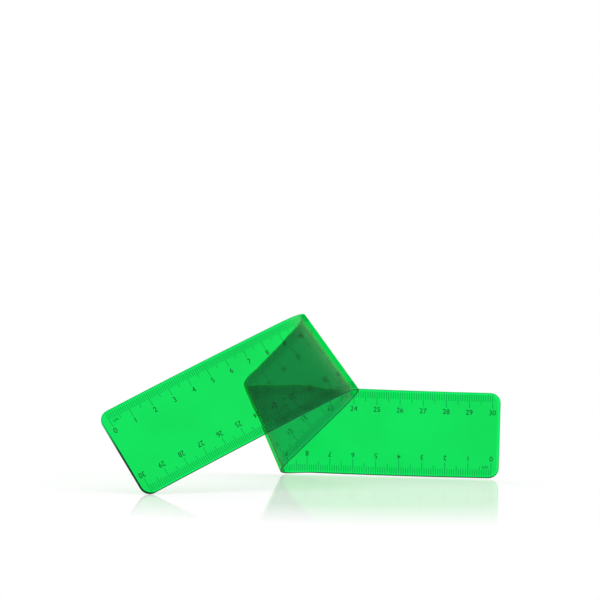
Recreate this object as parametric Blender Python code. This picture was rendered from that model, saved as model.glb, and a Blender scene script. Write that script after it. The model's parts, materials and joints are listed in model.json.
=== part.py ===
# Flexible ruler: one see-through plastic strip, standing on its long edge in a loose Z.
# Metres, +Z up. The strip is laid out flat first (x along its scale, y across it, z up from its
# printed face), cut into rigid plates along its bending lines, and then bent plate by plate.
import math

import bmesh
import bpy
from mathutils import Matrix, Quaternion, Vector

for old_object in list(bpy.data.objects):
    bpy.data.objects.remove(old_object, do_unlink=True)

MM = 0.001

# The strip
STRIP_LENGTH = 307 * MM
STRIP_WIDTH = 38.5 * MM
STRIP_THICKNESS = 1.0 * MM
CORNER_RADIUS = 4.6 * MM
CORNER_STEPS = 8

# Clear gap between two plates at a bending line
PLATE_GAP = 0.3 * MM

# The scale: a mark every millimetre along both long edges, longer at each half and whole centimetre
SCALE_STEPS = 300
SCALE_STEP = 1 * MM
STEPS_TO_HALF = 5
STEPS_TO_CENTIMETRE = 10
SCALE_START = (STRIP_LENGTH - SCALE_STEPS * SCALE_STEP) / 2
MARK_WIDTH = 0.3 * MM
MARK_DEPTH = 0.15 * MM
MARK_EDGE_CLEARANCE = 0.7 * MM
CENTIMETRE_MARK_LENGTH = 6.3 * MM
HALF_MARK_LENGTH = 4.6 * MM
MILLIMETRE_MARK_LENGTH = 3.2 * MM
SHORTEST_MARK = 0.6 * MM
MARK_SIDE_CLEARANCE = 0.15 * MM

# The two folds. Each is centred at a share of the strip's length, has a radius and a turn, and
# runs across the strip at a skew. A sense of -1 bends away from the printed face, 1 towards it.
LEFT_FOLD = {"centre_share": 0.416, "radius": 31.7 * MM, "turn_deg": 108.5,
             "skew_deg": 8.54, "sense": -1, "hinges": 8}
RIGHT_FOLD = {"centre_share": 0.6574, "radius": 12.3 * MM, "turn_deg": 158.6,
              "skew_deg": 23.75, "sense": 1, "hinges": 10}

# The slight sweeps of the two end panels, whose lines spread evenly from the rounded end to the fold
LEFT_SWEEP = {"turn_deg": 12.45, "skew_deg": -17.2, "sense": -1, "hinges": 4}
RIGHT_SWEEP = {"turn_deg": 4.6, "skew_deg": -29.6, "sense": -1, "hinges": 3}
ROUND_END_CLEARANCE = 2 * MM
SWEEP_FOLD_CLEARANCE = 9 * MM

# Turn of the standing strip about +Z, measured on the panel that stays fixed
FIXED_PANEL_HEADING_DEG = -5.6

# Neon green see-through plastic
PLASTIC_COLOUR = (0.0, 0.75, 0.12, 1.0)
PLASTIC_ROUGHNESS = 0.18
PLASTIC_ALPHA = 0.8
PLASTIC_IOR = 1.53


def plate_names():
    """Name the plates from the left end of the scale to the right end."""
    names = ["left_end_panel"]
    names += [f"left_panel_{i}" for i in range(1, LEFT_SWEEP["hinges"])]
    names += ["left_inner_panel"]
    names += [f"left_fold_slat_{i}" for i in range(1, LEFT_FOLD["hinges"])]
    names += ["middle_panel"]
    names += [f"right_fold_slat_{i}" for i in range(1, RIGHT_FOLD["hinges"])]
    names += ["right_inner_panel"]
    names += [f"right_panel_{i}" for i in range(1, RIGHT_SWEEP["hinges"])]
    names += ["right_end_panel"]
    return names


def lines_at(bend, places):
    """Make a bend's lines at the given places, each with an equal share of its turn."""
    turn = bend["sense"] * math.radians(bend["turn_deg"]) / bend["hinges"]
    return [{"place": place, "skew": math.radians(bend["skew_deg"]), "turn": turn} for place in places]


def fold_lines(fold):
    """Space a fold's lines evenly along its arc."""
    step = fold["radius"] * math.radians(fold["turn_deg"]) / fold["hinges"]
    first = fold["centre_share"] * STRIP_LENGTH - step * (fold["hinges"] - 1) / 2
    return lines_at(fold, [first + i * step for i in range(fold["hinges"])])


def sweep_lines(sweep, fold_line, side):
    """Space a sweep's lines evenly between a rounded end and a fold; side -1 is left, 1 right."""
    half_width = STRIP_WIDTH / 2
    skew_slope = math.tan(math.radians(sweep["skew_deg"]))
    end_reach = CORNER_RADIUS + ROUND_END_CLEARANCE + half_width * abs(skew_slope)
    fold_reach = SWEEP_FOLD_CLEARANCE + half_width * abs(skew_slope - math.tan(fold_line["skew"]))
    outer = end_reach if side < 0 else STRIP_LENGTH - end_reach
    inner = fold_line["place"] + side * fold_reach
    low, high = sorted((outer, inner))
    step = (high - low) / (sweep["hinges"] - 1)
    return lines_at(sweep, [low + i * step for i in range(sweep["hinges"])])


def bending_lines():
    """List every bending line from left to right: its place at mid width, skew and signed turn."""
    left_fold = fold_lines(LEFT_FOLD)
    right_fold = fold_lines(RIGHT_FOLD)
    left_sweep = sweep_lines(LEFT_SWEEP, left_fold[0], -1)
    right_sweep = sweep_lines(RIGHT_SWEEP, right_fold[-1], 1)
    return left_sweep + left_fold + right_fold + right_sweep


def line_x(line, y):
    """Give the x at which a bending line crosses the strip at height y of its width."""
    return line["place"] - (y - STRIP_WIDTH / 2) * math.tan(line["skew"])


def hinge_turn(line, side):
    """Turn a flat plate about its bending line; side is 1 for a plate left of the line, -1 right."""
    pivot = Matrix.Translation((line["place"], STRIP_WIDTH / 2, 0))
    axis = Vector((-math.sin(line["skew"]), math.cos(line["skew"]), 0))
    return pivot @ Matrix.Rotation(side * line["turn"], 4, axis) @ pivot.inverted()


def bent_frames(lines, fixed_index):
    """Give each plate's matrix from the flat strip to the bent strip, with one plate left flat."""
    frames = {fixed_index: Matrix.Identity(4)}
    for index in range(fixed_index - 1, -1, -1):
        frames[index] = frames[index + 1] @ hinge_turn(lines[index], 1)
    for index in range(fixed_index + 1, len(lines) + 1):
        frames[index] = frames[index - 1] @ hinge_turn(lines[index - 1], -1)
    return frames


def corner_arc(centre_x, centre_y, start_deg):
    """Give the points of a rounded quarter corner, anticlockwise from a start angle."""
    points = []
    for i in range(CORNER_STEPS + 1):
        angle = math.radians(start_deg + 90 * i / CORNER_STEPS)
        points.append((centre_x + CORNER_RADIUS * math.cos(angle),
                       centre_y + CORNER_RADIUS * math.sin(angle)))
    return points


def plate_outline(left_line, right_line):
    """Outline one flat plate, anticlockwise; a missing line means the strip's rounded end."""
    outline = []
    if right_line:
        shift = PLATE_GAP / 2 / math.cos(right_line["skew"])
        outline.append((line_x(right_line, 0) - shift, 0))
        outline.append((line_x(right_line, STRIP_WIDTH) - shift, STRIP_WIDTH))
    else:
        outline += corner_arc(STRIP_LENGTH - CORNER_RADIUS, CORNER_RADIUS, -90)
        outline += corner_arc(STRIP_LENGTH - CORNER_RADIUS, STRIP_WIDTH - CORNER_RADIUS, 0)
    if left_line:
        shift = PLATE_GAP / 2 / math.cos(left_line["skew"])
        outline.append((line_x(left_line, STRIP_WIDTH) + shift, STRIP_WIDTH))
        outline.append((line_x(left_line, 0) + shift, 0))
    else:
        outline += corner_arc(CORNER_RADIUS, STRIP_WIDTH - CORNER_RADIUS, 90)
        outline += corner_arc(CORNER_RADIUS, CORNER_RADIUS, 180)
    return outline


def outline_area_and_centre(outline):
    """Give a flat outline's area and centre of area."""
    area = 0.0
    centre = Vector((0, 0, 0))
    for (x0, y0), (x1, y1) in zip(outline, outline[1:] + outline[:1]):
        cross = (x0 * y1 - x1 * y0) / 2
        area += cross
        centre += Vector(((x0 + x1) / 3, (y0 + y1) / 3, 0)) * cross
    return area, centre / area


def standing_turn(points, balance_point):
    """Turn the bent strip so that it stands on the hull face that holds its centre of mass."""
    hull_mesh = bmesh.new()
    for point in points:
        hull_mesh.verts.new(point)
    bmesh.ops.convex_hull(hull_mesh, input=hull_mesh.verts)
    hull_mesh.normal_update()
    long_edge_down = Vector((0, -1, 0))
    best_normal = long_edge_down
    best_match = -1.0
    for face in hull_mesh.faces:
        corners = [vert.co for vert in face.verts]
        inside = all((after - before).cross(balance_point - before).dot(face.normal) >= 0
                     for before, after in zip(corners, corners[1:] + corners[:1]))
        match = face.normal.dot(long_edge_down)
        if inside and match > best_match:
            best_match = match
            best_normal = face.normal.copy()
    hull_mesh.free()
    upright = best_normal.rotation_difference(Vector((0, 0, -1)))
    length_direction = upright @ Vector((1, 0, 0))
    heading = math.radians(FIXED_PANEL_HEADING_DEG) - math.atan2(length_direction.y, length_direction.x)
    return Quaternion((0, 0, 1), heading) @ upright


def stance(frames, outlines):
    """Give the matrix that stands the bent strip on the floor, centred over the origin."""
    half = STRIP_THICKNESS / 2
    points = []
    balance_point = Vector((0, 0, 0))
    whole_area = 0.0
    for index, outline in enumerate(outlines):
        for x, y in outline:
            points += [frames[index] @ Vector((x, y, z)) for z in (-half, half)]
        area, centre = outline_area_and_centre(outline)
        balance_point += (frames[index] @ centre) * area
        whole_area += area
    turn = standing_turn(points, balance_point / whole_area).to_matrix().to_4x4()
    placed = [turn @ point for point in points]
    low = [min(point[axis] for point in placed) for axis in range(3)]
    high = [max(point[axis] for point in placed) for axis in range(3)]
    to_origin = Vector((-(low[0] + high[0]) / 2, -(low[1] + high[1]) / 2, -low[2]))
    return Matrix.Translation(to_origin) @ turn


def plastic_material(name):
    """Make the see-through green plastic for one plate."""
    material = bpy.data.materials.new(name)
    material.use_nodes = True
    shader = material.node_tree.nodes["Principled BSDF"]
    shader.inputs["Base Color"].default_value = PLASTIC_COLOUR
    shader.inputs["Roughness"].default_value = PLASTIC_ROUGHNESS
    shader.inputs["Metallic"].default_value = 0.0
    shader.inputs["Alpha"].default_value = PLASTIC_ALPHA
    shader.inputs["IOR"].default_value = PLASTIC_IOR
    material.diffuse_color = PLASTIC_COLOUR
    return material


def add_box(mesh, low, high):
    """Add one closed box between two corners to an open mesh."""
    size = Vector(high) - Vector(low)
    centre = (Vector(high) + Vector(low)) / 2
    matrix = Matrix.Translation(centre) @ Matrix.Diagonal((*size, 1))
    bmesh.ops.create_cube(mesh, size=1, matrix=matrix)


def mark_length(step):
    """Give the length of the mark at a step of the scale."""
    if step % STEPS_TO_CENTIMETRE == 0:
        return CENTIMETRE_MARK_LENGTH
    if step % STEPS_TO_HALF == 0:
        return HALF_MARK_LENGTH
    return MILLIMETRE_MARK_LENGTH


def clear_span(x, span, line, side):
    """Shorten a mark at x to the part of its span that clears a bending line; side 1 is right of it."""
    if not line:
        return span
    low, high = span
    slope = math.tan(line["skew"])
    reach = MARK_WIDTH / 2 + MARK_SIDE_CLEARANCE + PLATE_GAP / 2 / math.cos(line["skew"])
    beyond = line["place"] - (x - side * reach)
    if slope == 0:
        return (low, high) if side * beyond < 0 else (high, high)
    crossing = STRIP_WIDTH / 2 + beyond / slope
    if side * slope > 0:
        return max(low, crossing), high
    return low, min(high, crossing)


def mark_boxes(left_line, right_line):
    """List the engraved marks on one plate, as low and high corners; a bending line interrupts them."""
    boxes = []
    floor_z = STRIP_THICKNESS / 2 - MARK_DEPTH
    above_z = STRIP_THICKNESS / 2 + MARK_DEPTH
    for step in range(SCALE_STEPS + 1):
        x = SCALE_START + step * SCALE_STEP
        reach = MARK_EDGE_CLEARANCE + mark_length(step)
        for span in ((MARK_EDGE_CLEARANCE, reach), (STRIP_WIDTH - reach, STRIP_WIDTH - MARK_EDGE_CLEARANCE)):
            span = clear_span(x, span, left_line, 1)
            low, high = clear_span(x, span, right_line, -1)
            if high - low > SHORTEST_MARK:
                boxes.append(((x - MARK_WIDTH / 2, low, floor_z), (x + MARK_WIDTH / 2, high, above_z)))
    return boxes


def mesh_object(name, mesh, origin):
    """Make an object from a flat-strip mesh, with its own origin at a point of the flat strip."""
    bmesh.ops.translate(mesh, verts=mesh.verts, vec=-origin)
    bmesh.ops.recalc_face_normals(mesh, faces=mesh.faces)
    data = bpy.data.meshes.new(name)
    mesh.to_mesh(data)
    mesh.free()
    made = bpy.data.objects.new(name, data)
    bpy.context.collection.objects.link(made)
    return made


def build_plate(name, outline, left_line, right_line, origin):
    """Extrude one plate from its outline and engrave its part of the scale on the printed face."""
    mesh = bmesh.new()
    rim = [mesh.verts.new((x, y, -STRIP_THICKNESS / 2)) for x, y in outline]
    face = mesh.faces.new(rim)
    grown = bmesh.ops.extrude_face_region(mesh, geom=[face])
    top = [item for item in grown["geom"] if isinstance(item, bmesh.types.BMVert)]
    bmesh.ops.translate(mesh, verts=top, vec=(0, 0, STRIP_THICKNESS))
    plate = mesh_object(name, mesh, origin)
    plate.data.materials.append(plastic_material(name + "_plastic"))

    boxes = mark_boxes(left_line, right_line)
    if boxes:
        cutter_mesh = bmesh.new()
        for low, high in boxes:
            add_box(cutter_mesh, low, high)
        cutter = mesh_object(name + "_mark_cutter", cutter_mesh, origin)
        cutter.hide_render = True
        cutter.display_type = "WIRE"
        cutter.parent = plate
        engrave = plate.modifiers.new("Engraved marks", "BOOLEAN")
        engrave.operation = "DIFFERENCE"
        engrave.solver = "EXACT"
        engrave.object = cutter
    return plate


def build_ruler():
    """Build every plate and parent each one to its neighbour on the side of the fixed panel."""
    names = plate_names()
    lines = bending_lines()
    fixed_index = names.index("right_inner_panel")
    neighbours = [(lines[i - 1] if i > 0 else None, lines[i] if i < len(lines) else None)
                  for i in range(len(names))]
    outlines = [plate_outline(left_line, right_line) for left_line, right_line in neighbours]
    frames = bent_frames(lines, fixed_index)
    standing = stance(frames, outlines)

    plates = {}
    worlds = {}
    outward = sorted(range(len(names)), key=lambda index: abs(index - fixed_index))
    for index in outward:
        left_line, right_line = neighbours[index]
        own_line = right_line if index <= fixed_index else left_line
        origin = Vector((own_line["place"], STRIP_WIDTH / 2, 0))
        plate = build_plate(names[index], outlines[index], left_line, right_line, origin)
        worlds[index] = standing @ frames[index] @ Matrix.Translation(origin)
        if index == fixed_index:
            plate.matrix_basis = worlds[index]
        else:
            parent_index = index + 1 if index < fixed_index else index - 1
            plate.parent = plates[parent_index]
            plate.matrix_basis = worlds[parent_index].inverted() @ worlds[index]
        plates[index] = plate


build_ruler()
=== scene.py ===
# %% [markdown]
# # A see-through plastic ruler, bent into a loose Z
# The real ruler is one strip of soft green plastic, a millimetre thick, that stands on its long edge. The
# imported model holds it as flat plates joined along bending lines, because joints need rigid pieces. Here
# we read those plates and lines back, and lay one smooth strip over them, so that it bends wherever they
# bend.

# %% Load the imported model
import math

import bmesh
import bpy
import numpy as np
from mathutils import Matrix, Vector
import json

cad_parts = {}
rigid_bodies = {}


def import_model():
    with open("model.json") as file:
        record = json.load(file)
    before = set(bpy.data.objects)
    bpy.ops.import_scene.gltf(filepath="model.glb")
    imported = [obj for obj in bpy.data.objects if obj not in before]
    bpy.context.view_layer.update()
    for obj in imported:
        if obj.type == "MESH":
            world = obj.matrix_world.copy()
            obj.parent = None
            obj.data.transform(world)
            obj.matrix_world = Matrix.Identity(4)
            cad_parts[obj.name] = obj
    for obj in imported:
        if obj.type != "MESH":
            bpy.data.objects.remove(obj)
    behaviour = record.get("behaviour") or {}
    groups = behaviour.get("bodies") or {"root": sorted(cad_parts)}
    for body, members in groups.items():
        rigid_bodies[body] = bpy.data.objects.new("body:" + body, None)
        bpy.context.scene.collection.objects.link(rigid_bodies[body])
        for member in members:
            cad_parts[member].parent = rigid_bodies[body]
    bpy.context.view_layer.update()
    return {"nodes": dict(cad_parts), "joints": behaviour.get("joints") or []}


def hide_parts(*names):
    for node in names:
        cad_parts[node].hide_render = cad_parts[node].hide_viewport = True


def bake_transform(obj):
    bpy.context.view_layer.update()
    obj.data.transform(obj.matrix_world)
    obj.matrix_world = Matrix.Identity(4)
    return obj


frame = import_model()
MM = 0.001

# %% [markdown]
# ## The camera
# The picture was taken from far away with a long lens, a little above the table, so the ruler hardly
# shrinks with distance. A camera is a place, a direction and a roll about that direction. We place it by
# the point it looks at, its distance, and two angles, which are easier to reason about than three turns.

# %% Place the camera
CAMERA_AIM = Vector((-4.5, 30.8, 76.6)) * MM
CAMERA_DISTANCE = 1.7888
CAMERA_AZIMUTH_DEG = -0.41
CAMERA_ELEVATION_DEG = 1.62
CAMERA_ROLL_DEG = 1.5
CAMERA_LENS = 252.5
CAMERA_REACH = 50.0


def place_camera():
    """Put the camera on a sphere round its aim point, then roll it about its own line of sight."""
    azimuth, elevation = math.radians(CAMERA_AZIMUTH_DEG), math.radians(CAMERA_ELEVATION_DEG)
    back = Vector((math.sin(azimuth) * math.cos(elevation),
                   -math.cos(azimuth) * math.cos(elevation),
                   math.sin(elevation)))
    camera = bpy.data.objects.new("camera", bpy.data.cameras.new("camera"))
    bpy.context.scene.collection.objects.link(camera)
    level = (-back).to_track_quat("-Z", "Y").to_matrix()
    turned = level @ Matrix.Rotation(math.radians(CAMERA_ROLL_DEG), 3, "Z")
    camera.matrix_world = Matrix.Translation(CAMERA_AIM + back * CAMERA_DISTANCE) @ turned.to_4x4()
    camera.data.lens = CAMERA_LENS
    camera.data.clip_end = CAMERA_REACH
    bpy.context.scene.camera = camera
    return camera


print("camera at", [round(value, 3) for value in place_camera().matrix_world.translation])

# %% [markdown]
# ## Read the plates and the bending lines
# Every joint of the model is one bending line of the strip: a point at the middle of its width and a
# direction. Its upper limit is the turn that flattens the strip there, which is also the turn that the
# strip has at rest. Starting from the plate that never moves, we can therefore work out how every other
# plate lies.

# %% Follow the joints from the left end to the right end


def follow_chain(joints, first_body):
    """Walk from body to body across the joints; gives the bodies and the joints between them."""
    bodies, crossed = [first_body], []
    while True:
        ahead = [joint for joint in joints
                 if bodies[-1] in (joint["parent"], joint["child"]) and joint not in crossed]
        if not ahead:
            return bodies, crossed
        crossed.append(ahead[0])
        bodies.append(ahead[0]["child"] if ahead[0]["parent"] == bodies[-1] else ahead[0]["parent"])


BODIES, JOINTS = follow_chain(frame["joints"], "left_end_panel")
FIXED = next(index for index, body in enumerate(BODIES)
             if all(joint["child"] != body for joint in JOINTS))
PIVOTS = np.array([joint["pos_m"] for joint in JOINTS])
AXES = np.array([joint["axis"] for joint in JOINTS])
RULINGS = AXES * np.sign(AXES[:, 2:3])
UNROLL = np.radians([joint["range_deg"][1] for joint in JOINTS])
print(len(BODIES), "plates,", len(JOINTS), "bending lines, fixed plate:", BODIES[FIXED])

# %% Work out how each plate lies


def unit(vector):
    """A vector with its length made one."""
    return vector / np.linalg.norm(vector)


def rotation(axis, angle):
    """The turn by an angle about an axis, as a 3 by 3 array."""
    return np.array(Matrix.Rotation(float(angle), 3, Vector(axis)))


def plate_directions():
    """Three unit vectors for each plate, as columns: along the scale, across it, and off the printed face.

    The fixed plate's come from its own two bending lines. A joint flattens the strip when it turns by
    its upper limit, so a plate beyond it lies as its neighbour turned back by that angle.
    """
    along = unit(PIVOTS[FIXED] - PIVOTS[FIXED - 1])
    off = unit(np.cross(along, RULINGS[FIXED - 1]))
    plates = {FIXED: np.column_stack([along, np.cross(off, along), off])}
    for index in range(FIXED - 1, -1, -1):
        plates[index] = rotation(AXES[index], -UNROLL[index]) @ plates[index + 1]
    for index in range(FIXED, len(JOINTS)):
        plates[index + 1] = rotation(AXES[index], -UNROLL[index]) @ plates[index]
    return np.array([plates[index] for index in range(len(BODIES))])


PLATES = plate_directions()
steps = np.diff(PIVOTS, axis=0)
STEP_LENGTHS = np.linalg.norm(steps, axis=1)
off_line = np.linalg.norm(steps / STEP_LENGTHS[:, None] - PLATES[1:-1, :, 0], axis=1).max()
print("bending lines stray from the plates by at most", round(float(off_line), 6))

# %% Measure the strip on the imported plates


def node_corners(node):
    """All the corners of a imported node, as an array."""
    mesh = frame["nodes"][node].data
    corners = np.empty(len(mesh.vertices) * 3, np.float32)
    mesh.vertices.foreach_get("co", corners)
    return corners.reshape(-1, 3).astype(float)


left_reach = -((node_corners(BODIES[0]) - PIVOTS[0]) @ PLATES[0][:, 0]).min()
right_reach = ((node_corners(BODIES[-1]) - PIVOTS[-1]) @ PLATES[-1][:, 0]).max()
fixed_spread = (node_corners(BODIES[FIXED]) - PIVOTS[FIXED]) @ PLATES[FIXED]
PLACE = left_reach + np.concatenate([[0], np.cumsum(STEP_LENGTHS)])
LENGTH = PLACE[-1] + right_reach
WIDTH = np.ptp(fixed_spread[:, 1])
THICKNESS = np.ptp(fixed_spread[:, 2])
CORNER_RADIUS = 4.6 * MM
print("strip in mm:", round(LENGTH / MM, 2), round(WIDTH / MM, 2), round(THICKNESS / MM, 2))

# %% [markdown]
# ## Bend a flat drawing onto the ruler
# We draw everything flat, where a ruler is simple: x along the scale, y across it, z off the sheet. One
# function then carries flat points onto the bent strip. A guide curve could carry them too, but it bends
# a sheet square to its length only, and these lines are skewed.
#
# Near a bending line the plates would meet at a sharp crease, so the function rounds it: in a band along
# the line the strip is part of a cylinder that touches both plates. Such a surface bends only one way,
# as a real sheet does, so nothing on it is stretched.

# %% Describe the bending lines on the flat strip
SKEW = np.arctan2(-np.einsum("ij,ij->i", RULINGS, PLATES[:-1, :, 0]),
                  np.einsum("ij,ij->i", RULINGS, PLATES[:-1, :, 1]))
COS, SIN, SLOPE = np.cos(SKEW), np.sin(SKEW), np.tan(SKEW)
MIDDLE_PLACE = (PLACE[:-1] + PLACE[1:]) / 2
MIDDLE_SLOPE = (SLOPE[:-1] + SLOPE[1:]) / 2


def square_to_line(plates):
    """In each plate beside a bending line, the direction square to that line that points to the right."""
    return COS[:, None] * plates[:, :, 0] + SIN[:, None] * plates[:, :, 1]


LEFT_SIDE = square_to_line(PLATES[:-1])
RIGHT_SIDE = square_to_line(PLATES[1:])
LEFT_OFF = PLATES[:-1, :, 2]
TURN = np.arctan2(np.einsum("ij,ij->i", RIGHT_SIDE, LEFT_OFF), np.einsum("ij,ij->i", RIGHT_SIDE, LEFT_SIDE))


def band_widths():
    """Half the width of each line's rounded band: its least distance to a plate's middle beside it."""
    bands = []
    for index in range(len(PLACE)):
        middles = [beside for beside in (index - 1, index) if 0 <= beside < len(MIDDLE_PLACE)]
        gaps = [abs(MIDDLE_PLACE[beside] - PLACE[index] - across * (MIDDLE_SLOPE[beside] - SLOPE[index]))
                for beside in middles for across in (-WIDTH / 2, WIDTH / 2)]
        bands.append(min(gaps) * COS[index])
    return np.array(bands)


BAND = band_widths()
print("turns in degrees:", np.degrees(TURN).round(1).tolist())
print("half bands in mm:", (BAND / MM).round(2).tolist())

# %% Carry flat points onto the bent strip


def nearest_line(x, y):
    """The bending line that each flat point belongs to: how many plate middles lie to its left."""
    middles = MIDDLE_PLACE - (y[:, None] - WIDTH / 2) * MIDDLE_SLOPE
    return (x[:, None] > middles).sum(axis=1)


def bend(flat, flat_directions):
    """Carry flat points and directions onto the bent strip.

    Square to its line a point lies a distance d from it. From -band to +band the heading turns evenly from
    0 to the line's turn, and the point runs along an arc of radius band / tan(turn / 2), which touches both
    plates. Before and after the band it runs straight. Height z goes along the turned normal.
    """
    x, y, z = flat.T
    line = nearest_line(x, y)
    beyond, across = x - PLACE[line], y - WIDTH / 2
    square = beyond * COS[line] + across * SIN[line]
    along = across * COS[line] - beyond * SIN[line]
    band, turn = BAND[line], TURN[line]
    radius = band / np.tan(turn / 2)
    heading = turn * np.clip((square + band) / (2 * band), 0, 1)
    before, after = np.minimum(square, -band), np.maximum(square - band, 0)
    run = before + radius * np.sin(heading) + after * np.cos(heading)
    rise = radius * (1 - np.cos(heading)) + after * np.sin(heading)
    cos_heading, sin_heading = np.cos(heading)[:, None], np.sin(heading)[:, None]
    tangent = cos_heading * LEFT_SIDE[line] + sin_heading * LEFT_OFF[line]
    normal = cos_heading * LEFT_OFF[line] - sin_heading * LEFT_SIDE[line]
    points = (PIVOTS[line] + along[:, None] * RULINGS[line] + run[:, None] * LEFT_SIDE[line]
              + rise[:, None] * LEFT_OFF[line] + z[:, None] * normal)
    dx, dy, dz = flat_directions.T
    directions = ((dx * COS[line] + dy * SIN[line])[:, None] * tangent
                  + (dy * COS[line] - dx * SIN[line])[:, None] * RULINGS[line] + dz[:, None] * normal)
    return points, directions


# %% [markdown]
# ## The strip
# The strip is moulded in one, but a posed piece may follow two plates only. So it is cut in the middle of
# every plate, where it lies flat.
# Each piece is a grid for the printed face, a grid for the back, and a rounded rim between them. The rim
# is left open at a cut, so that no wall shows inside the clear plastic.

# %% Choose the rows of each piece's grid
RIM_RADIUS = 0.25 * MM
CELLS_IN_HALF_BAND = 7
CELLS_BESIDE_BAND = 3
CELLS_AT_END = 28
END_CROWD = 2.0


def rows_between(start, end, cells, crowd=1.0):
    """Grid rows between two lines, as place, slope and pull; crowd above 1 packs them at the start."""
    share = np.linspace(0, 1, cells + 1)[:, None] ** crowd
    return np.array(start) + share * (np.array(end) - np.array(start))


def side_rows(index, side):
    """The rows from a bending line outwards to the piece's border: side -1 is left, 1 right.

    Pull says how much of the rim's inset a row takes: 1 or -1 on the strip's own end, 0 elsewhere.
    """
    line = (PLACE[index], SLOPE[index], 0)
    beside = index - 1 if side < 0 else index
    if not 0 <= beside < len(MIDDLE_PLACE):
        end = (0, 0, 1) if side < 0 else (LENGTH, 0, -1)
        return rows_between(end, line, CELLS_AT_END, END_CROWD)[::-1]
    band_edge = (PLACE[index] + side * BAND[index] / COS[index], SLOPE[index], 0)
    border = (MIDDLE_PLACE[beside], MIDDLE_SLOPE[beside], 0)
    if abs(border[0] - band_edge[0]) < RIM_RADIUS:
        return rows_between(line, border, CELLS_IN_HALF_BAND)
    rows = rows_between(line, band_edge, CELLS_IN_HALF_BAND)
    return np.vstack([rows, rows_between(band_edge, border, CELLS_BESIDE_BAND)[1:]])


def piece_rows(index):
    """All the rows of the piece over one bending line, from left to right."""
    return np.vstack([side_rows(index, -1)[::-1], side_rows(index, 1)[1:]])


print("rows of each piece:", [len(piece_rows(index)) for index in range(len(PLACE))])

# %% Fit the grid into the rounded outline
CELLS_ACROSS = 16
SQUEEZE_ROUNDS = 4


def flat_grid(rows, inset):
    """Flat x and y of a grid whose outline is the rounded strip drawn in by an inset.

    A row runs across the strip as x = place - slope * (y - half the width). Near an end the width shrinks
    to the rounded corner: half width = W/2 - r + sqrt((r - inset)^2 - q^2), where q is how far x lies
    beyond the corner's centre. A few rounds settle x and y together.
    """
    place, slope, pull = rows[:, 0:1], rows[:, 1:2], rows[:, 2:3]
    share = np.linspace(-1, 1, CELLS_ACROSS + 1)[None, :]
    across = share * WIDTH / 2 * np.ones_like(place)
    for _ in range(SQUEEZE_ROUNDS):
        x = place + pull * inset - slope * across
        q = np.maximum(CORNER_RADIUS - np.minimum(x, LENGTH - x), 0)
        reach = np.sqrt(np.maximum((CORNER_RADIUS - inset) ** 2 - q ** 2, 0))
        across = share * (WIDTH / 2 - CORNER_RADIUS + reach)
    return x, across + WIDTH / 2


def grid_quads(grid):
    """Four-cornered faces between the points of a grid, facing up for x right and y away."""
    return np.stack([grid[:-1, :-1], grid[1:, :-1], grid[1:, 1:], grid[:-1, 1:]], axis=-1).reshape(-1, 4)


sample_x, sample_y = flat_grid(piece_rows(FIXED), RIM_RADIUS)
print("the first piece right of the fixed plate's middle is", round(float(np.ptp(sample_x)) / MM, 1), "by",
      round(float(np.ptp(sample_y)) / MM, 1), "mm between its rims")

# %% Shape the rim
RIM_STEPS = 3


def rim_profile():
    """The rim from the printed face to the back: inset, height, and how far its normal points out and up.

    Two quarter circles of radius r at angle a: inset = r * (1 - cos a), height = +-(T/2 - r) + r * sin a.
    """
    profile = []
    for side, start, end in ((1, 90, 0), (-1, 0, -90)):
        for angle in np.radians(np.linspace(start, end, RIM_STEPS + 1)):
            profile.append((RIM_RADIUS * (1 - math.cos(angle)),
                            side * (THICKNESS / 2 - RIM_RADIUS) + RIM_RADIUS * math.sin(angle),
                            math.cos(angle), math.sin(angle)))
    return profile


def edge_chains(grid, has_left_end, has_right_end):
    """The outer edge of a grid, anticlockwise, as chains of point numbers; a piece's cuts have none."""
    lower, upper = grid[:, 0], grid[::-1, -1]
    if has_left_end:
        return [np.concatenate([upper, grid[0, -2:0:-1], lower])]
    if has_right_end:
        return [np.concatenate([lower, grid[-1, 1:-1], upper])]
    return [lower, upper]


def outward(x, y):
    """The flat direction square to the rounded outline: away from the rectangle within its corners."""
    core_x = np.clip(x, CORNER_RADIUS, LENGTH - CORNER_RADIUS)
    core_y = np.clip(y, CORNER_RADIUS, WIDTH - CORNER_RADIUS)
    away = np.stack([x - core_x, y - core_y], axis=-1)
    return away / np.linalg.norm(away, axis=-1, keepdims=True)


print("rim heights in mm:", [round(z / MM, 2) for _, z, _, _ in rim_profile()])

# %% Draw one piece flat


def flat_piece(index):
    """The strip's piece over one bending line, still flat.

    Gives its points, their normals, a mask of the printed face, the faces and how many are the rim's.
    """
    rows = piece_rows(index)
    x, y = flat_grid(rows, RIM_RADIUS)
    count = x.size
    grid = np.arange(count).reshape(x.shape)
    height = THICKNESS / 2
    points = [np.column_stack([x.ravel(), y.ravel(), np.full(count, side * height)]) for side in (1, -1)]
    normals = [np.tile((0.0, 0.0, side), (count, 1)) for side in (1, -1)]
    quads = [grid_quads(grid), grid_quads(grid + count)[:, ::-1]]
    profile = rim_profile()
    for chain in edge_chains(grid, index == 0, index == len(PLACE) - 1):
        loops = [chain]
        for inset, z, out_share, up_share in profile[1:-1]:
            rim_x, rim_y = (part.ravel()[chain] for part in flat_grid(rows, inset))
            direction = outward(rim_x, rim_y) * out_share
            loops.append(sum(len(part) for part in points) + np.arange(len(chain)))
            points.append(np.column_stack([rim_x, rim_y, np.full(len(chain), z)]))
            normals.append(np.column_stack([direction, np.full(len(chain), up_share)]))
        loops.append(chain + count)
        quads += [np.stack([upper[:-1], lower[:-1], lower[1:], upper[1:]], axis=-1)
                  for upper, lower in zip(loops[:-1], loops[1:])]
    printed = np.zeros(sum(len(part) for part in points))
    printed[:count] = 1
    rim_faces = sum(len(part) for part in quads[2:])
    return np.vstack(points), np.vstack(normals), printed, np.vstack(quads), rim_faces


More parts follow.
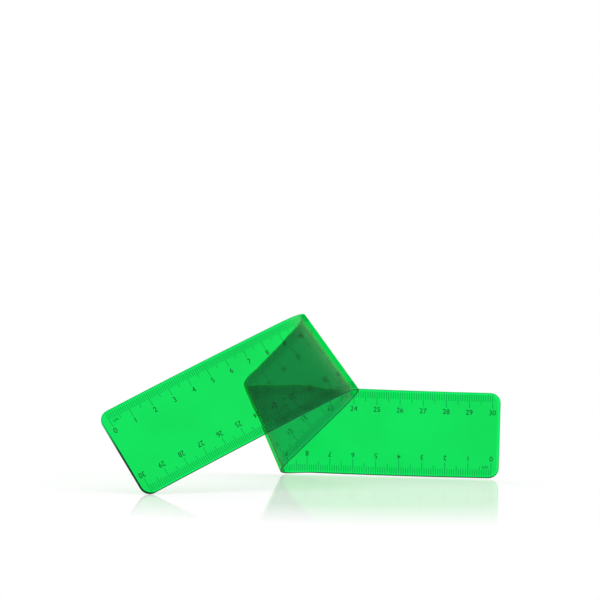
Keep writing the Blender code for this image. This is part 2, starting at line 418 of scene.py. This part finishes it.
*_, first_faces, first_rim_faces = flat_piece(0)
print("faces of the first piece:", len(first_faces), "of which the rim has", first_rim_faces)

# %% Turn flat drawings into pieces


def make_piece(name, flat, faces, material, normals=None, printed=None):
    """Make a mesh of a flat drawing bent onto the strip. Its map holds the flat place in millimetres."""
    directions = np.zeros_like(flat) if normals is None else normals
    points, directions = bend(flat, directions)
    mesh = bpy.data.meshes.new(name)
    mesh.from_pydata(points.tolist(), [], faces if isinstance(faces, list) else faces.tolist())
    corner_points = np.empty(len(mesh.loops), np.int32)
    mesh.loops.foreach_get("vertex_index", corner_points)
    strip_map = mesh.uv_layers.new(name="strip")
    strip_map.data.foreach_set("uv", (flat[corner_points, :2] / MM).astype(np.float32).ravel())
    if printed is not None:
        mask = mesh.attributes.new("printed", "FLOAT", "POINT")
        mask.data.foreach_set("value", printed.astype(np.float32))
    if normals is not None:
        mesh.shade_smooth()
        mesh.normals_split_custom_set_from_vertices(directions.tolist())
    mesh.materials.append(material)
    piece = bpy.data.objects.new(name, mesh)
    bpy.context.scene.collection.objects.link(piece)
    return piece


def follow_plates(piece, index):
    """Bake a piece's place into its mesh; the ends of the rounded band are worked out but not used."""
    chord = unit(LEFT_SIDE[index] + RIGHT_SIDE[index])
    reach = chord * BAND[index] * math.cos(TURN[index] / 2)
    BODIES[index + 1]
    tuple(PIVOTS[index] - reach)
    tuple(PIVOTS[index] + reach)
    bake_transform(piece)


# %% [markdown]
# ## Shader maths as plain sums
# A pattern such as a scale is easiest to write as sums and comparisons. This small class wraps a socket,
# so that `1 - mask` or `a * b` adds the Math node that does it. Its method `node` makes every other kind
# of node.

# %% Wrap a socket


def feed(tree, node, inputs):
    """Give each named socket of a node its wire or its plain value."""
    for name, value in inputs.items():
        if isinstance(value, Wire):
            tree.links.new(value.socket, node.inputs[name])
        else:
            node.inputs[name].default_value = value


class Wire:
    """A socket of a node tree that can be used in sums."""

    def __init__(self, tree, socket=None):
        self.tree = tree
        self.socket = socket

    def node(self, kind, settings=None, inputs=None, output=0):
        """Make a node, set its settings, then feed its sockets from wires or values; gives one output."""
        made = self.tree.nodes.new(kind)
        for name, value in (settings or {}).items():
            setattr(made, name, value)
        feed(self.tree, made, inputs or {})
        return Wire(self.tree, made.outputs[output])

    def math(self, operation, *others):
        """The result of a Math node on this wire and the others."""
        return self.node("ShaderNodeMath", {"operation": operation}, dict(enumerate((self, *others))))

    def __add__(self, other):
        return self.math("ADD", other)

    def __sub__(self, other):
        return self.math("SUBTRACT", other)

    def __mul__(self, other):
        return self.math("MULTIPLY", other)

    def __truediv__(self, other):
        return self.math("DIVIDE", other)

    def __rsub__(self, other):
        return self.node("ShaderNodeMath", {"operation": "SUBTRACT"}, {0: other, 1: self})

    __radd__ = __add__
    __rmul__ = __mul__

    def clamp(self):
        """The same value, kept from 0 to 1."""
        return self.node("ShaderNodeClamp", None, {0: self})

    def above(self, limit, softness):
        """A mask that rises from 0 to 1 round a limit, over a softness."""
        return ((self - limit) / softness + 0.5).clamp()

    def mix_colour(self, first, second):
        """The first colour where this mask is 0, the second where it is 1.

        A Mix node holds its two colours in sockets 6 and 7, and gives the mixed one at output 2.
        """
        return self.node("ShaderNodeMix", {"data_type": "RGBA"}, {0: self, 6: first, 7: second}, output=2)

    def x_and_y(self):
        """The first two parts of a place."""
        return [self.node("ShaderNodeSeparateXYZ", None, {0: self}, output=axis) for axis in (0, 1)]


def new_material(name):
    """A new material with its main shader, and a wire to build on."""
    material = bpy.data.materials.new(name)
    material.use_nodes = True
    return material, material.node_tree.nodes["Principled BSDF"], Wire(material.node_tree)


# %% [markdown]
# ## The clear green plastic and its scale
# The plastic passes green light and stops the rest. It could be a volume that swallows light along its
# depth, but a sheet this thin can tint the light at its faces, which is easier to steer and quicker.
#
# Four things are added, all seen in the picture. A layer that is seen through another one is darker,
# most of all in the middle of the strip: painted shade, as if the layers in front shaded it. Seen at a
# slant the plastic looks solid and bright. The cut sides carry painted shade and light: darker along the
# edge at y = 0 and darkest at the left end, lighter along the edge at y = width and at the right end. A
# narrow margin inside them is lighter: a painted glow.
#
# The scale is moulded into one face: a mark every millimetre, longer at each half and whole centimetre.
# All of it is a function of the flat place that the map holds, so it stays sharp at any distance and
# bends with the strip. Lengths in these materials are millimetres.

# %% Choose the scale's sizes
SCALE_MARKS = 300
SCALE_START = (LENGTH / MM - SCALE_MARKS) / 2
SCALE_OVERRUN = 0.5
SCALE_END_SOFTNESS = 0.1
MARK_WIDTH = 0.33
MARK_FOOT = 0.7
MARK_TOPS = {1: 3.9, 5: 5.3, 10: 7.0}
MARK_SOFTNESS = 0.08
MARK_GROOVE = 0.03
print("the scale starts", round(float(SCALE_START), 2), "mm from each end")

# %% Draw the scale and the outline as masks


def scale_marks(x, y):
    """A mask of the marks. For each spacing, x repeats within it, and y must lie between foot and top."""
    from_edge = y.math("MINIMUM", WIDTH / MM - y)
    after_start = (x - (SCALE_START - SCALE_OVERRUN)).above(0, SCALE_END_SOFTNESS)
    before_end = (SCALE_START + SCALE_MARKS + SCALE_OVERRUN - x).above(0, SCALE_END_SOFTNESS)
    marks = None
    for spacing, top in MARK_TOPS.items():
        off_mark = (x - SCALE_START).math("PINGPONG", spacing / 2)
        row = (MARK_WIDTH / 2 - off_mark).above(0, MARK_SOFTNESS)
        row = row * (top - from_edge).above(0, MARK_SOFTNESS)
        marks = row if marks is None else marks.math("MAXIMUM", row)
    return marks * (after_start * before_end) * from_edge.above(MARK_FOOT, MARK_SOFTNESS)


def distance_inside(x, y):
    """How far a flat place lies within the rounded outline: corner radius less its distance to the core."""
    core_x, core_y = (LENGTH / 2 - CORNER_RADIUS) / MM, (WIDTH / 2 - CORNER_RADIUS) / MM
    out_x = ((x - LENGTH / MM / 2).math("ABSOLUTE") - core_x).math("MAXIMUM", 0.0)
    out_y = ((y - WIDTH / MM / 2).math("ABSOLUTE") - core_y).math("MAXIMUM", 0.0)
    return CORNER_RADIUS / MM - (out_x * out_x + out_y * out_y).math("SQRT")


# %% Colour the cut sides, with painted shade and light
# Painted shade and light on the cut sides: darker along the edge at y = 0 and darkest at the left end,
# lighter along the edge at y = width and at the right end, as light from above on the right falls.
PAINTED_LIT_SIDE_GREEN = (0.0, 0.62, 0.14, 1)
PAINTED_SHADE_SIDE_GREEN = (0.0, 0.17, 0.035, 1)
DARK_SIDE_GREEN = (0.0, 0.035, 0.006, 1)
LEFT_END, LEFT_END_SOFTNESS = 4.0, 3.0
RIGHT_END, RIGHT_END_SOFTNESS = 1.5, 2.0
UPPER_SHARE, UPPER_SOFTNESS_SHARE = 0.75, 0.4
SIDE_ROUGHNESS = 0.5
LOW_GLOSS = 0.1


def at_left_end(x):
    """A mask of the strip's left end, where the painted shade of the sides is darkest and the border
    widest.
    """
    return (LEFT_END - x).above(0, LEFT_END_SOFTNESS)


def side_colour(x, y):
    """Painted shade and light of the sides: light at y = width and the right end, darkest at the left end.
    """
    width, length = WIDTH / MM, LENGTH / MM
    right_end = (x - (length - RIGHT_END)).above(0, RIGHT_END_SOFTNESS)
    unlit = right_end.mix_colour(PAINTED_SHADE_SIDE_GREEN, PAINTED_LIT_SIDE_GREEN)
    lower = at_left_end(x).mix_colour(unlit, DARK_SIDE_GREEN)
    below = (UPPER_SHARE * width - y).above(0, UPPER_SOFTNESS_SHARE * width)
    return below.mix_colour(PAINTED_LIT_SIDE_GREEN, lower)


def cut_side_material():
    """The cut side of the strip: green with painted shade and light, without the faces' gloss."""
    material, shader, start = new_material("cut_edge_green")
    x, y = start.node("ShaderNodeUVMap", {"uv_map": "strip"}).x_and_y()
    feed(start.tree, shader, {"Base Color": side_colour(x, y), "Roughness": SIDE_ROUGHNESS,
                              "Specular IOR Level": LOW_GLOSS})
    return material


# %% Choose the plastic's look
# Painted shade behind other layers tints light that they tint too, so it is pale where they are strong.
PLASTIC_GREEN = (0.004, 0.80, 0.115, 1)
CLOUDY_GREEN = (0.004, 0.73, 0.10, 1)
# Painted glow: a lighter green in a narrow margin inside the outline.
GLOW_MARGIN_GREEN = (0.004, 0.92, 0.14, 1)
# Painted shade: a layer seen through another one takes these darker greens, darkest near the middle.
SHADED_LAYER_MIDDLE_GREEN = (0.9, 0.255, 0.40, 1)
SHADED_LAYER_END_GREEN = (0.9, 0.56, 0.72, 1)
MARK_GREEN = (0.0, 0.25, 0.04, 1)
SHADED_LAYER_MARK_GREEN = (0.02, 0.01, 0.01, 1)
SLANT_GREEN = (0.0, 0.66, 0.075, 1)
SHADED_LAYER_SLANT_GREEN = (0.02, 0.33, 0.05, 1)
GLINT_GREEN = (0.4, 1.0, 0.55, 1)
CLEARNESS = 0.97
LIGHT_BENDING = 1.22
SMOOTH_ROUGHNESS = 0.006
MARK_ROUGHNESS = 0.03
HANDLED_ROUGHNESS = 0.01
HANDLED_LEVEL, HANDLED_SOFTNESS = 0.55, 0.3
CLOUD_LEVEL, CLOUD_SOFTNESS = 0.5, 0.5
# Painted shade of a layer seen through another one is darkest within this reach of the middle.
DARKEST_SHADE_MIDDLE, DARKEST_SHADE_SOFTNESS = 48.0, 15.0
GLOW_MARGIN_WIDTH, GLOW_MARGIN_SOFTNESS = 1.1, 0.6
# A border of the face along the outline takes the sides' painted shade and light, wider at the left end.
EDGE_WIDTH, EDGE_SOFTNESS = 0.38, 0.2
LEFT_END_SHADE_GROWTH = 0.3
SLANT_START, SLANT_END = 0.56, 0.7
SLANT_ROUGHNESS = 0.35
SLANT_BLEND = 0.5
WAVES_PER_MM = {"clouds": 0.035, "ripple": 0.06, "handling": 0.7, "wear": 1.1}
WAVE_DETAIL = {"clouds": 2.0, "ripple": 1.0, "handling": 3.0, "wear": 3.0}
WAVE_ROUGHNESS = 0.5
RIPPLE_HEIGHT = 0.35
BUMP_STRENGTH = 0.5
SECOND_LAYER = 1.5

# %% Make the plastic


def noise(start, place, kind):
    """Smooth noise on the flat place."""
    return start.node("ShaderNodeTexNoise", {"noise_dimensions": "2D"},
                      {"Vector": place, "Scale": WAVES_PER_MM[kind], "Detail": WAVE_DETAIL[kind],
                       "Roughness": WAVE_ROUGHNESS})


def seen_through(start):
    """1 where a ray has passed both faces of another layer, 0 on the first layer: where painted shade goes.
    """
    return start.node("ShaderNodeLightPath", output="Transmission Depth").above(SECOND_LAYER, 1)


def plastic_colours(start, place, x, y, marks):
    """The plastic's tint with its painted shade, glow and light, and the green that it shows at a slant."""
    shaded_layer = seen_through(start)
    clouds = noise(start, place, "clouds").above(CLOUD_LEVEL, CLOUD_SOFTNESS)
    inside = distance_inside(x, y)
    # Painted glow in a narrow margin inside the outline.
    glow_margin = (GLOW_MARGIN_WIDTH - inside).above(0, GLOW_MARGIN_SOFTNESS)
    single = glow_margin.mix_colour(clouds.mix_colour(PLASTIC_GREEN, CLOUDY_GREEN), GLOW_MARGIN_GREEN)
    outer = (x - LENGTH / MM / 2).math("ABSOLUTE").above(DARKEST_SHADE_MIDDLE, DARKEST_SHADE_SOFTNESS)
    # Painted shade where a layer, or its marks, are seen through another one, darkest near the middle.
    body = shaded_layer.mix_colour(single, outer.mix_colour(SHADED_LAYER_MIDDLE_GREEN, SHADED_LAYER_END_GREEN))
    drawn = marks.mix_colour(body, shaded_layer.mix_colour(MARK_GREEN, SHADED_LAYER_MARK_GREEN))
    # Painted shade and light in a border along the outline, as on the sides, wider at the left end.
    edge_width = EDGE_WIDTH + LEFT_END_SHADE_GROWTH * at_left_end(x)
    edge = (edge_width - inside).above(0, EDGE_SOFTNESS)
    # Painted shade also darkens the slant green seen through another layer.
    slanted = shaded_layer.mix_colour(marks.mix_colour(SLANT_GREEN, DARK_SIDE_GREEN), SHADED_LAYER_SLANT_GREEN)
    return edge.mix_colour(drawn, side_colour(x, y)), slanted


def plastic_material():
    """Clear green plastic: faint clouds, a moulded scale, a painted glow, a painted shade and light border.
    """
    material, shader, start = new_material("clear_green_plastic")
    place = start.node("ShaderNodeUVMap", {"uv_map": "strip"})
    x, y = place.x_and_y()
    printed = start.node("ShaderNodeAttribute", {"attribute_name": "printed"}, output="Fac")
    marks = scale_marks(x, y) * printed
    tint, slant_tint = plastic_colours(start, place, x, y, marks)
    handled = noise(start, place, "handling").above(HANDLED_LEVEL, HANDLED_SOFTNESS)
    roughness = SMOOTH_ROUGHNESS + HANDLED_ROUGHNESS * handled + MARK_ROUGHNESS * marks
    height = noise(start, place, "ripple") * RIPPLE_HEIGHT - marks * MARK_GROOVE
    bump = start.node("ShaderNodeBump", None, {"Strength": BUMP_STRENGTH, "Distance": MM, "Height": height})
    feed(start.tree, shader, {"Base Color": tint, "Roughness": roughness, "Normal": bump,
                              "IOR": LIGHT_BENDING, "Transmission Weight": CLEARNESS,
                              "Specular Tint": GLINT_GREEN})
    slanted = start.node("ShaderNodeBsdfPrincipled", None,
                         {"Base Color": slant_tint, "Roughness": SLANT_ROUGHNESS, "Specular IOR Level": 0.0,
                          "Normal": bump})
    facing = start.node("ShaderNodeLayerWeight", None, {"Blend": SLANT_BLEND}, output="Facing")
    slant = ((facing - SLANT_START) / (SLANT_END - SLANT_START)).clamp()
    clear = Wire(start.tree, shader.outputs[0])
    shown = start.node("ShaderNodeMixShader", None, {0: slant, 1: clear, 2: slanted})
    feed(start.tree, start.tree.nodes["Material Output"], {"Surface": shown})
    return material


PLASTIC, CUT_SIDE = plastic_material(), cut_side_material()
print("nodes in the plastic and in its cut side:",
      len(PLASTIC.node_tree.nodes), len(CUT_SIDE.node_tree.nodes))

# %% Make the strip
for index, joint in enumerate(JOINTS):
    flat, normals, printed, faces, rim_faces = flat_piece(index)
    strip_piece = make_piece("strip_over_" + joint["name"], flat, faces, PLASTIC, normals, printed)
    strip_piece.data.materials.append(CUT_SIDE)
    slots = np.zeros(len(faces), np.int32)
    slots[-rim_faces:] = 1
    strip_piece.data.polygons.foreach_set("material_index", slots)
    follow_plates(strip_piece, index)
    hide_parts(BODIES[index], BODIES[index + 1])

# %% [markdown]
# ## The numbers
# Every whole centimetre has its number, once from each end, so the lower row stands on its head. A shader
# could hardly draw them, so plain text gives the shapes. They are set out flat, cut at the same lines as
# the strip, given a thin body and bent onto the printed face.

# %% Set out the numbers
NUMBER_HEIGHT = 2.3 * MM
NUMBER_FROM_EDGE = 8.9 * MM
CAP_SHARE = 0.73
UNIT_HEIGHT = 1.6 * MM
UNIT_FROM_EDGE = 4.9 * MM
UNIT_FROM_ZERO = 2.5 * MM
MARKS_PER_NUMBER = 10


def add_writing(sheet, words, x, y, height, upright):
    """Add flat writing to a bmesh, centred on a point, turned half round where it isn't upright."""
    curve = bpy.data.curves.new("writing", "FONT")
    curve.body = words
    curve.size = height / CAP_SHARE
    curve.align_x = "CENTER"
    curve.align_y = "CENTER"
    writing = bpy.data.objects.new("writing", curve)
    bpy.context.scene.collection.objects.link(writing)
    mesh = bpy.data.meshes.new_from_object(writing.evaluated_get(bpy.context.evaluated_depsgraph_get()))
    mesh.transform(Matrix.Translation((x, y, 0)) @ Matrix.Rotation(0 if upright else math.pi, 4, "Z"))
    sheet.from_mesh(mesh)
    bpy.data.objects.remove(writing, do_unlink=True)


def flat_numbers():
    """All the numbers and both unit labels on one flat sheet."""
    sheet = bmesh.new()
    for upright in (True, False):
        edge = WIDTH if upright else 0
        inwards = -1 if upright else 1
        zero = SCALE_START * MM if upright else LENGTH - SCALE_START * MM
        for centimetre in range(SCALE_MARKS // MARKS_PER_NUMBER + 1):
            x = zero - inwards * centimetre * MARKS_PER_NUMBER * MM
            add_writing(sheet, str(centimetre), x, edge + inwards * NUMBER_FROM_EDGE,
                        NUMBER_HEIGHT, upright)
        add_writing(sheet, "cm", zero - inwards * UNIT_FROM_ZERO, edge + inwards * UNIT_FROM_EDGE,
                    UNIT_HEIGHT, upright)
    return sheet


number_sheet = flat_numbers()
print("flat writing:", len(number_sheet.verts), "points,", len(number_sheet.faces), "faces")

# %% Cut the writing where the strip is cut
NUMBER_ABOVE = 0.03 * MM
NUMBER_BELOW = 0.01 * MM
CUT_TOLERANCE = 1e-9


def cut_sheet(sheet, index):
    """The part of a flat sheet between the borders of one piece, given a thin body; points and faces."""
    part = sheet.copy()
    for beside, drop in ((index - 1, "clear_inner"), (index, "clear_outer")):
        if 0 <= beside < len(MIDDLE_PLACE):
            bmesh.ops.bisect_plane(part, geom=part.verts[:] + part.edges[:] + part.faces[:],
                                   dist=CUT_TOLERANCE, plane_co=(MIDDLE_PLACE[beside], WIDTH / 2, 0),
                                   plane_no=(1, MIDDLE_SLOPE[beside], 0), **{drop: True})
    top = bmesh.ops.extrude_face_region(part, geom=part.faces[:])["geom"]
    lifted = [item for item in top if isinstance(item, bmesh.types.BMVert)]
    bmesh.ops.translate(part, verts=part.verts, vec=(0, 0, THICKNESS / 2 - NUMBER_BELOW))
    bmesh.ops.translate(part, verts=lifted, vec=(0, 0, NUMBER_BELOW + NUMBER_ABOVE))
    bmesh.ops.recalc_face_normals(part, faces=part.faces)
    flat = np.array([vert.co for vert in part.verts], float).reshape(-1, 3)
    faces = [[vert.index for vert in face.verts] for face in part.faces]
    part.free()
    return flat, faces


cut_points = [len(cut_sheet(number_sheet, index)[0]) for index in range(len(PLACE))]
print("points of writing over each bending line:", cut_points)

# %% Make the numbers
NUMBER_GREEN = (0.0, 0.14, 0.025, 1)
WORN_NUMBER_GREEN = (0.0, 0.19, 0.034, 1)
# Painted shade for numbers seen through another layer.
SHADED_LAYER_NUMBER_GREEN = (0.0, 0.008, 0.002, 1)
NUMBER_ROUGHNESS = 0.05
WORN_ROUGHNESS = 0.05
WORN_LEVEL, WORN_SOFTNESS = 0.5, 0.4


def number_material():
    """Dark green marking: a little uneven in tone and gloss, as pigment in a mould is."""
    material, shader, start = new_material("number_green")
    worn = noise(start, start.node("ShaderNodeUVMap", {"uv_map": "strip"}), "wear")
    plain = worn.above(WORN_LEVEL, WORN_SOFTNESS).mix_colour(NUMBER_GREEN, WORN_NUMBER_GREEN)
    # Painted shade: numbers seen through another layer turn near black.
    tint = seen_through(start).mix_colour(plain, SHADED_LAYER_NUMBER_GREEN)
    feed(start.tree, shader, {"Base Color": tint, "Roughness": NUMBER_ROUGHNESS + WORN_ROUGHNESS * worn,
                              "Specular IOR Level": LOW_GLOSS, "Transmission Weight": CLEARNESS,
                              "IOR": LIGHT_BENDING})
    return material


NUMBERS = number_material()
for index, joint in enumerate(JOINTS):
    flat, faces = cut_sheet(number_sheet, index)
    if len(faces):
        number_piece = make_piece("numbers_over_" + joint["name"], flat, faces, NUMBERS)
        follow_plates(number_piece, index)
number_sheet.free()

# %% [markdown]
# ## Table and light
# The picture has a white table that mirrors the ruler faintly and shades off to nothing. The mirror image
# could be a flipped copy of the ruler, but a table with a faint gloss follows every pose by itself. Half
# of the table's shade is taken out. Far from the ruler it turns to even white for the camera, so that it
# has no edge, and the sky is the same white. Soft light comes from all round, with a wide lamp above and
# a smaller one in front on the left.

# %% Make the table
TABLE_SIZE = 12.0
TABLE_WHITE = (0.95, 0.95, 0.95, 1)
TABLE_MIRROR = 0.32
MIRROR_ROUGHNESS = 0.05
TABLE_EVEN = 0.5
SHADE_RADIUS = 0.1
FADE_RADIUS = 0.2
FADE_BEHIND_START = 0.04
FADE_BEHIND_SHARE = 0.15
PURE_WHITE = (1, 1, 1, 1)


def sees_white(start):
    """1 for what is seen straight on, in a mirror or through clear plastic, 0 for light that lights."""
    rays = [start.node("ShaderNodeLightPath", output=f"Is {kind} Ray")
            for kind in ("Camera", "Glossy", "Transmission")]
    return rays[0].math("MAXIMUM", rays[1]).math("MAXIMUM", rays[2])


def table_material():
    """White table: matt with a faint mirror, fading to even white away from the ruler.

    The fade rises with sqrt(x^2 + depth^2), where depth = max(-y, (y - start) / share), so that it comes
    sooner behind the ruler than in front.
    """
    material, shader, start = new_material("white_table")
    start.tree.nodes.remove(shader)
    x, y = start.node("ShaderNodeTexCoord", output="Object").x_and_y()
    depth = ((y - FADE_BEHIND_START) / FADE_BEHIND_SHARE).math("MAXIMUM", y * -1)
    away = (x * x + depth * depth).math("SQRT")
    fade = ((away - SHADE_RADIUS) / (FADE_RADIUS - SHADE_RADIUS)).clamp()
    matt = start.node("ShaderNodeBsdfDiffuse", None, {"Color": TABLE_WHITE})
    mirror = start.node("ShaderNodeBsdfAnisotropic", None,
                        {"Color": PURE_WHITE, "Roughness": MIRROR_ROUGHNESS})
    white = start.node("ShaderNodeEmission", None, {"Color": PURE_WHITE, "Strength": 1.0})
    pale = start.node("ShaderNodeMixShader", None, {0: TABLE_EVEN * sees_white(start), 1: matt, 2: white})
    table = start.node("ShaderNodeMixShader", None, {0: TABLE_MIRROR, 1: pale, 2: mirror})
    shown = start.node("ShaderNodeMixShader", None, {0: fade * sees_white(start), 1: table, 2: white})
    feed(start.tree, start.tree.nodes["Material Output"], {"Surface": shown})
    return material


def make_table():
    """One wide square at the height that the ruler stands on."""
    corners = np.array([(-1, -1, 0), (1, -1, 0), (1, 1, 0), (-1, 1, 0)]) * TABLE_SIZE / 2
    mesh = bpy.data.meshes.new("table")
    mesh.from_pydata(corners.tolist(), [], [(0, 1, 2, 3)])
    mesh.materials.append(table_material())
    table = bpy.data.objects.new("table", mesh)
    bpy.context.scene.collection.objects.link(table)


make_table()
print("table:", TABLE_SIZE, "m wide, even white from", FADE_RADIUS, "m on")

# %% Light the ruler
SKY_STRENGTH = 0.85
LAMP_AIM = (0, 0, 0.03)
LAMPS = {"overhead": {"place": (0.1, -0.1, 1.1), "size": 1.2, "power": 3.0},
         "front_left": {"place": (-0.8, -1.0, 0.7), "size": 0.6, "power": 2.0}}


def make_sky():
    """Even pale light all round, which the camera sees as white."""
    world = bpy.data.worlds.new("sky")
    bpy.context.scene.world = world
    world.use_nodes = True
    strength = sees_white(Wire(world.node_tree)) * (1 - SKY_STRENGTH) + SKY_STRENGTH
    feed(world.node_tree, world.node_tree.nodes["Background"], {"Color": PURE_WHITE, "Strength": strength})


def make_lamp(name, place, size, power):
    """A square soft lamp that faces the ruler."""
    lamp = bpy.data.objects.new(name, bpy.data.lights.new(name, "AREA"))
    lamp.data.shape = "SQUARE"
    lamp.data.size = size
    lamp.data.energy = power
    lamp.location = place
    lamp.rotation_euler = (Vector(LAMP_AIM) - Vector(place)).to_track_quat("-Z", "Y").to_euler()
    bpy.context.scene.collection.objects.link(lamp)


make_sky()
for name, lamp in LAMPS.items():
    make_lamp(name, **lamp)
bpy.context.scene.view_settings.view_transform = "Standard"
print("lamps:", list(LAMPS), "and a sky of strength", SKY_STRENGTH)

# %% Finish
import json
